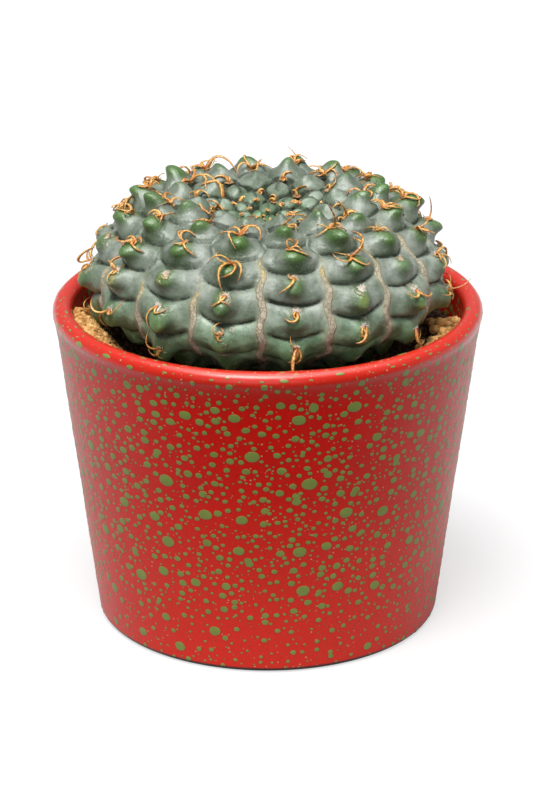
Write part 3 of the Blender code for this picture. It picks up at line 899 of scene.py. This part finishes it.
def make_spine_finish():
    """Horny spines: red-brown at the root, straw to orange along, greyish brown at the tip."""
    graph, place = surface("spine", 0.34)
    along, tone = attributes(graph, "along tone")
    streak = noise(place, 0.9, 3)
    colour = painted(
        blend(tone, (0.78, 0.4, 0.08), (0.5, 0.14, 0.02)),
        (rise(streak, 0.42, 0.64), (0.91, 0.57, 0.19)),
        (rise(along, 0.25, 0.0), (0.42, 0.12, 0.03)),
        (0.8 * rise(along, 0.72, 1.0), blend(tone, (0.4, 0.17, 0.08), (0.3, 0.19, 0.16))),
    )
    return finished(graph, Base_Color=colour, Normal=bump(streak, 0.06))


SPINE_COUNTS = [  # the tier that it holds to, the numbers of spines at an areole, and their reach
    (2.4, (1,), 0.16), (3.6, (1, 2, 2), 0.38), (4.6, (2, 3, 3), 0.75), (6.9, (5, 6, 7, 8), 1.0),
    (7.7, (0, 2, 3, 4, 5), 0.9), (9.3, (2, 3, 4, 5), 0.95), (inf, (0,), 1.0),
]
SPINE_REACHES = (0.7, 0.85, 0.95, 1.0, 1.1, 1.35)
SPINE_POINTS, WOOL_POINTS = 10, 4
STRAY_SHARE = 0.022  # of the spines, longer ones that stand out
FAN_STEP, FAN_SPREAD = radians(54), radians(80)  # between a cluster's spines, and by chance
CURL_BACK = 0.38  # the share that curls towards the cluster's middle
SPINE_SIZES = {"Length": 6.6 * MM, "Root radius": 0.66 * MM, "Tip radius": 0.17 * MM, "Clearance": 0.5 * MM}
WOOL_SIZES = {"Length": 0.8 * MM, "Radius": 0.17 * MM, "Spread": 0.95 * MM}
WOOL_SPLAY = 2.4


def make_spines(body, areoles):
    """Curled spines at every areole, few and short in the crown, like claws over the skin on the flanks."""
    chance = random.Random(11)
    amounts, reaches = [], []
    for areole in areoles:
        counts, reach = next((counts, reach) for last, counts, reach in SPINE_COUNTS if areole[0] < last)
        amounts.append(chance.choice(counts) if len(counts) > 1 else counts[0])
        reaches.append(reach * chance.choice(SPINE_REACHES))
    piece = areole_points("spines", areoles, amount=amounts, reach=reaches)
    graph, geometry, given = geometry_tree("Spines", {"Body": body, **SPINE_SIZES})
    spun = strands(geometry, SPINE_POINTS)
    along, order, number, outward, down, beside = strand_fields(graph)
    turn, size, curl = chances(order, number, 1.0)
    steep, fall, tone = chances(order, number, 2.0)
    # Spines leave the areole in pairs, to the left and the right of the way down, each pair higher up
    side = 1.0 - 2.0 * combine("MODULO", number, 2.0)
    heading = side * combine("CEIL", number * 0.5) * FAN_STEP + (turn - 0.5) * FAN_SPREAD
    ahead = down * combine("COSINE", heading) + beside * combine("SINE", heading)
    # Each is an arc over the skin, and it rises and falls as a parabola
    bend = (1.2 + 2.8 * curl) * (1.0 - 2.0 * (fall > 1.0 - CURL_BACK)) * -1.0 * side
    stray = (tone > 1.0 - STRAY_SHARE) * rise(attribute(graph, "tier"), 4.4, 5.0)
    length = given["Length"] * (0.5 + 0.85 * size) * attribute(graph, "reach") * (1.0 + 0.5 * stray)
    forward = combine("SINE", bend * along) / bend
    sideways = (1.0 - combine("COSINE", bend * along)) / bend
    lean = 0.6 + 0.9 * steep + 0.6 * stray
    rising = along * lean - along * along * lean * (0.7 + 0.6 * fall) * (1.0 - 0.75 * stray)
    offset = ahead * (length * forward) + cross(outward, ahead) * (length * sideways)
    laid = store(laid_out(spun, offset + outward * (length * rising + 0.2 * MM)), "tone", tone)
    laid = keep_off_skin(laid, given["Body"], given["Clearance"], rise(along, 0.0, 0.2))
    root, tip = given["Root radius"], given["Tip radius"]
    taper = (tip + (root - tip) * (1.0 - along) ** 0.8) * (0.75 + 0.4 * size)
    return grow(piece, thicken(laid, taper, 4, 0.5), make_spine_finish())


def make_felt():
    """Wool that is white on the old areoles and tan on the young, and brown at its foot."""
    graph, place = surface("areole_wool", 0.85)
    tier, along = attributes(graph, "tier along")
    patchy = noise(place, 1.2, 2)
    tan, white = ((0.5, 0.26, 0.09), (0.72, 0.52, 0.28)), ((0.8, 0.7, 0.6), (0.95, 0.91, 0.86))
    bleached = rise(tier + 1.6 * (noise(place, 14, 1) - 0.5), 6.6, 7.8)
    colour = blend(bleached, blend(patchy, *tan), blend(patchy, *white))
    return finished(graph, Base_Color=blend(rise(along, 0.3, 0.0) * 0.4, colour, (0.45, 0.2, 0.08)))


HAIRS = 96  # at an areole, fewer on the oldest
FIRST_WOOL_TIER, LAST_WOOL_TIER = 1.8, 9.4


def make_wool(body, areoles):
    """Short felt on the areoles, smaller in the crown."""
    woolly = [a for a in areoles if a[0] > FIRST_WOOL_TIER]
    reaches = [min(1.0, 0.25 + 0.2 * a[0]) for a in woolly]
    amounts = [int(HAIRS * min(1, max(0, LAST_WOOL_TIER - a[0]))) for a in woolly]
    piece = areole_points("areole_wool", woolly, amount=amounts, reach=reaches)
    graph, geometry, given = geometry_tree("Areole wool", {"Body": body, **WOOL_SIZES})
    spun = strands(geometry, WOOL_POINTS)
    along, order, number, outward, down, beside = strand_fields(graph)
    first, second, third = chances(order, number, 3.0)
    fourth, _, size = chances(order, number, 4.0)
    small = attribute(graph, "reach")
    ring, angle = root_of(first) * given["Spread"] * small, second * tau
    aside = beside * (combine("COSINE", angle) * ring) + down * (combine("SINE", angle) * ring * 0.65)
    way = outward + beside * ((third - 0.5) * WOOL_SPLAY) + down * ((fourth - 0.5) * WOOL_SPLAY)
    droop = outward * (along * along * -0.5)
    offset = aside + (way * along + droop) * (given["Length"] * small * (0.5 + 0.8 * size))
    laid = keep_off_skin(laid_out(spun, offset), given["Body"], 0.02 * MM, 1.0)
    tube = thicken(laid, given["Radius"] * (1.05 - 0.7 * along), 3, 1.0)
    return grow(piece, tube, make_felt())


# ---- soil and grit ----

SOIL_SIDES, SOIL_RINGS = 420, 30
WALL_GAP = 0.3 * MM
CORNER_RADIUS = 5.7 * MM
LUMPINESS = 2.2 * MM
CRUMB_SIZES = {"Smallest": 0.4 * MM, "Largest": 1.25 * MM, "Density": 1.5e6}  # crumbs to a square metre
OCHRE, DEEP = (0.6, 0.3, 0.09), (0.018, 0.01, 0.006)


def smooth_step(low, high, x):
    t = np.clip((x - low) / (high - low), 0, 1)
    return t * t * (3 - 2 * t)


def bank_height(share, azimuth):
    """How high the grit is heaped, share of the way from the plant to the wall."""
    height = 0.0 * azimuth
    for centre, half_width, top in BANKS:
        off = np.mod(azimuth - radians(centre) + pi, tau) - pi
        near = 1 - smooth_step(0.35, 1.0, np.abs(off) / radians(half_width))
        height = height + top * near * smooth_step(BANK_FOOT, BANK_TOP, share)
    return height


def soil_edge():
    """Radius of the soil's hole for the stem."""
    foot = HEIGHTS < SOIL_LEVEL + 5 * MM
    return float(np.interp(-SOIL_LEVEL, -HEIGHTS[foot], RADII[foot])) + SOIL_CLEARANCE


def soil_surface(share, azimuth):
    """The soil's surface: radius, height, and how much of that is heaped."""
    heaped = bank_height(share, azimuth)
    edge = soil_edge()
    return edge + share * (inner_radius(SOIL_LEVEL + heaped) - WALL_GAP - edge), SOIL_LEVEL + heaped, heaped


def soil_mesh():
    """The filling of soil with its heaped banks, and the socket that the stem stands in."""
    below = HEIGHTS < SOIL_LEVEL - 1 * MM
    socket = list(zip(RADII[below] + SOIL_CLEARANCE, HEIGHTS[below] - 0.5 * SOIL_CLEARANCE))[::12]
    socket = [(0.0, socket[-1][1] - 1 * MM), *[r for r in reversed(socket) if r[0] > 2 * MM]]
    share = np.linspace(0, 1, SOIL_RINGS)[:, None]
    radius, height, heaped = soil_surface(share, np.arange(SOIL_SIDES) * tau / SOIL_SIDES)
    bottom = POT_FLOOR + WALL_GAP
    corner = (inner_radius(bottom) - 6 * MM, bottom + 6 * MM)
    rows = [*socket, *zip(radius, height), *arc(corner, CORNER_RADIUS, -8, -90, 6), (0.0, bottom)]
    piece = revolved("soil_filling", rows, SOIL_SIDES)
    loose, bank = np.zeros((2, len(piece.data.vertices)))
    first = 1 + (len(socket) - 1) * SOIL_SIDES
    top = slice(first, first + heaped.size)
    loose[top] = np.repeat(smooth_step(0.0, 0.1, share) * smooth_step(1.0, 0.92, share), SOIL_SIDES)
    bank[top] = heaped.ravel() / (5 * MM)
    set_attributes(piece.data, loose=loose, bank=bank)
    return piece


def make_soil():
    """Dark, lumpy soil, sandy on the banks."""
    graph, place = surface("potting_soil", 0.9, Specular_IOR_Level=0.2)
    ochre = rise(attribute(graph, "bank") + 0.6 * (noise(place, 3, 2) - 0.5), 0.6, 1.2)
    dark = blend(noise(place, 1.6, 4), DEEP, (0.06, 0.033, 0.016))
    sandy = blend(noise(place, 1.1, 4), (0.3, 0.13, 0.035), OCHRE)
    material = finished(graph, Base_Color=blend(ochre, dark, sandy), Normal=bump(noise(place, 0.9, 4), 0.4))
    graph, geometry, given = geometry_tree("Soil surface", {"Lumpiness": LUMPINESS})
    lumps = (noise(field(graph, "Position"), 2.6, 3) - 0.5) * given["Lumpiness"] * attribute(graph, "loose")
    rough = through(geometry, "SetPosition", Offset=vector_of(graph, 0.0, 0.0, lumps))
    return grow(soil_mesh(), rough, material)


def scattered(points, subdivisions, shape, turns):
    """Unit balls at the points, scaled by a shape and turned by three random numbers."""
    graph = points.graph
    ball = graph.node("GeometryNodeMeshIcoSphere", None, {"Radius": 1.0, "Subdivisions": subdivisions})
    turn = vector_of(graph, *(t * tau for t in turns))
    return through(points, "InstanceOnPoints", Instance=ball, Scale=shape, Rotation=turn)


def make_crumbs(soil):
    """Fine grains that lie over the soil: ochre on the banks, few and dark in the deep."""
    graph, place = surface("grain", 0.85, Specular_IOR_Level=0.25)
    bank, tone = attributes(graph, "bank tone")
    sandy, dark = blend(tone, (0.42, 0.19, 0.05), (0.88, 0.56, 0.22)), blend(tone, DEEP, (0.1, 0.05, 0.022))
    colour = blend(rise(bank + 0.7 * (tone - 0.5), 0.5, 1.0), dark, sandy)
    material = finished(graph, Base_Color=colour, Normal=bump(noise(place, 0.5, 3), 0.15))
    piece = add_piece("crumbs", soil.data.copy())
    graph, geometry, given = geometry_tree("Crumbs", CRUMB_SIZES)
    loose, bank = attributes(graph, "loose bank")
    density = given["Density"] * ((loose > 0.3) * (0.22 + 0.78 * rise(bank, 0.05, 0.4)))
    settings = {"distribute_method": "RANDOM"}
    points = through(geometry, "DistributePointsOnFaces", settings, Density=density, Seed=4)
    order = field(graph, "Index")
    size, first, second = chances(order, 5.0)
    third, tone, squash = chances(order, 6.0)
    scale = given["Smallest"] + (given["Largest"] - given["Smallest"]) * size**2.0
    shape = vector_of(graph, 0.8 + 0.4 * first, 0.8 + 0.4 * second, 0.6 + 0.4 * squash) * scale
    placed = scattered(store(points, "tone", tone), 1, shape, (first, second, third))
    return grow(piece, placed, material)


GRIT_RUNS = [  # first and last azimuth, count, share of the way to the wall, radius
    (52.0, 100.0, 15, 0.74, 2.0 * MM),
    (-104.0, -86.0, 4, 0.8, 1.5 * MM),
    (140.0, 216.0, 9, 0.8, 2.0 * MM),
]
GRIT_DENTS = 1.2  # of a lump's size


def make_grit():
    """Lumps of baked clay on the banks, rounded and pitted."""
    chance = random.Random(5)
    places, radii = [], []
    for first, last, count, share, size in GRIT_RUNS:
        for i in range(count):
            azimuth = radians(first + (last - first) * i / (count - 1) + chance.uniform(-1.5, 1.5))
            radii.append(size * chance.uniform(0.6, 1.0))
            out, up, _ = soil_surface(min(share + chance.uniform(-0.12, 0.1), 0.9), azimuth)
            up += radii[-1] * chance.uniform(0.2, 0.9)
            places.append((out * sin(azimuth), -out * cos(azimuth), up))
    mesh = bpy.data.meshes.new("grit_lumps")
    mesh.from_pydata(places, [], [])
    set_attributes(mesh, size=radii)
    piece = add_piece("grit_lumps", mesh)
    graph, place = surface("baked_clay", 0.85, Specular_IOR_Level=0.25)
    pitted = noise(place, 1.1, 4, 0.6)
    colour = blend(noise(place, 5, 2), (0.58, 0.29, 0.08), (0.86, 0.55, 0.21))
    # Painted shade: darker down in the pits
    colour = blend(0.6 * rise(pitted, 0.5, 0.3), colour, (0.26, 0.1, 0.03))
    material = finished(graph, Base_Color=colour, Normal=bump(pitted, 0.35))
    graph, geometry, given = geometry_tree("Grit lumps", {"Dents": GRIT_DENTS})
    first, second, third = chances(field(graph, "Index"), 7.0)
    size = attribute(graph, "size")
    shape = vector_of(graph, 0.85 + 0.3 * first, 0.85 + 0.3 * second, 0.75 + 0.2 * third) * size
    real = through(scattered(geometry, 4, shape, (first, second, third)), "RealizeInstances")
    dents = (noise(field(graph, "Position"), 2.4, 3, 0.6) - 0.5) * size * given["Dents"]
    dented = through(real, "SetPosition", Offset=field(graph, "Normal") * dents)
    return grow(piece, through(dented, "SetShadeSmooth"), material)


# ---- the stage ----

FLOOR_RADIUS, FLOOR_SIDES = 6.0, 64
BACKDROP_SHARE = 0.62  # of its own light in the floor that the camera sees. The rest shows the shadow
LAMPS = [  # name, azimuth, elevation, strength, angular size
    ("key", -20, 70, 3.1, 26),
    ("side", 70, 42, 0.14, 40),
    ("front", -8, 16, 0.72, 50),
]
CAMERA_DISTANCE, CAMERA_ELEVATION, CAMERA_TARGET = 1.08, 21.7, Vector((0, 0, 69.5 * MM))
LENS, LENS_SHIFT = 153.0, -0.0015


def light_path(graph, name):
    return graph.node("ShaderNodeLightPath", output=name)


def grey(level):
    return (level, level, level)


def make_floor():
    """A wide floor that the camera sees as white, with the object's soft shadow on it."""
    mesh = bpy.data.meshes.new("floor")
    turns = [i * tau / FLOOR_SIDES for i in range(FLOOR_SIDES)]
    edge = [(FLOOR_RADIUS * cos(t), FLOOR_RADIUS * sin(t), 0) for t in turns]
    mesh.from_pydata(edge, [], [range(FLOOR_SIDES)])
    graph, place = surface("white_floor", 0.9, Specular_IOR_Level=0.0)
    aside, depth, _ = parts_of(place)
    # Painted reflections: to glossy rays the floor is dark in front, standing for the dark room that the
    # glaze reflects, and paler to the sides for the glaze's side sheen; other rays see 0.6 of it
    colour = blend(rise(depth, -200 * MM, -60 * MM), grey(0.05), grey(0.62))
    colour = blend(rise(abs(aside), 90 * MM, 180 * MM) * rise(depth, -120 * MM, 0.0), colour, grey(0.78))
    colour = blend(light_path(graph, "Is Glossy Ray"), colour * 0.6, colour)
    material = finished(graph, Base_Color=colour)
    pale = graph.node("ShaderNodeBsdfDiffuse", None, {"Color": (0.9, 0.9, 0.9, 1)})
    glow = graph.node("ShaderNodeEmission", None, {"Color": (1, 1, 1, 1)})
    seen = graph.node("ShaderNodeMixShader", None, {0: BACKDROP_SHARE, 1: pale, 2: glow})
    lit = Value(graph, graph.tree.nodes["Principled BSDF"].outputs[0])
    both = graph.node("ShaderNodeMixShader", None, {0: light_path(graph, "Is Camera Ray"), 1: lit, 2: seen})
    graph.tree.links.new(both.socket, graph.tree.nodes["Material Output"].inputs["Surface"])
    add_piece("floor", mesh, material)


def aimed(holder, azimuth, elevation, distance=0.0):
    """Turns a lamp or a camera towards the object from a direction in degrees, and moves it that way."""
    a, e = radians(azimuth), radians(elevation)
    away = Vector((sin(a) * cos(e), -cos(a) * cos(e), sin(e)))
    holder.location = CAMERA_TARGET + distance * away
    holder.rotation_euler = away.to_track_quat("Z", "Y").to_euler()
    return holder


def make_lights():
    """A pale sky, a strip overhead that only shines on glossy things, a soft key lamp and two weak ones."""
    world = bpy.data.worlds.new("studio")
    world.use_nodes = True
    bpy.context.scene.world = world
    sky = Graph(world.node_tree, world)
    aside, depth, up = parts_of(sky.node("ShaderNodeTexCoord", output="Generated"))
    behind = rise(depth, -0.7, 0.5)
    soft = 0.06 + 0.34 * rise(up, 0.0, 0.9) + 0.08 * behind
    mirrored = 0.05 + 0.27 * behind + 0.15 * rise(abs(aside), 0.5, 0.95) + 5.6 * rise(up, 0.78, 0.96)
    glossy = largest(light_path(sky, "Is Glossy Ray"), light_path(sky, "Is Transmission Ray"))
    strength = soft + (mirrored - soft) * glossy
    strength = strength + (1.0 - strength) * light_path(sky, "Is Camera Ray")
    back = world.node_tree.nodes["Background"]
    back.inputs["Color"].default_value = (1, 1, 1, 1)
    sky.tree.links.new(strength.socket, back.inputs["Strength"])
    for name, azimuth, elevation, energy, angle in LAMPS:
        lamp = bpy.data.lights.new(name, "SUN")
        lamp.energy, lamp.angle = energy, radians(angle)
        aimed(add_piece(name, lamp), azimuth, elevation)


def make_camera():
    camera = bpy.data.cameras.new("camera")
    camera.lens, camera.shift_x = LENS, LENS_SHIFT
    camera.clip_start, camera.clip_end = 0.05, 50
    bpy.context.scene.camera = aimed(add_piece("camera", camera), 0.0, CAMERA_ELEVATION, CAMERA_DISTANCE)
    bpy.context.scene.view_settings.view_transform = "Standard"


pot = make_pot()
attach(pot, "root")
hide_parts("pot")
body = make_body()
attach(body, "root")
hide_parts("cactus_body")
areoles = find_areoles(body)
spines = make_spines(body, areoles)
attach(spines, "root")
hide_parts(*[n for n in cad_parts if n.startswith("spine_cluster")])
wool = make_wool(body, areoles)
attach(wool, "root")
soil = make_soil()
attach(soil, "root")
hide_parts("soil")
crumbs = make_crumbs(soil)
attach(crumbs, "root")
grit = make_grit()
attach(grit, "root")
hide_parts(*[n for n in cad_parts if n.startswith("grit")])
make_floor()
make_lights()
make_camera()
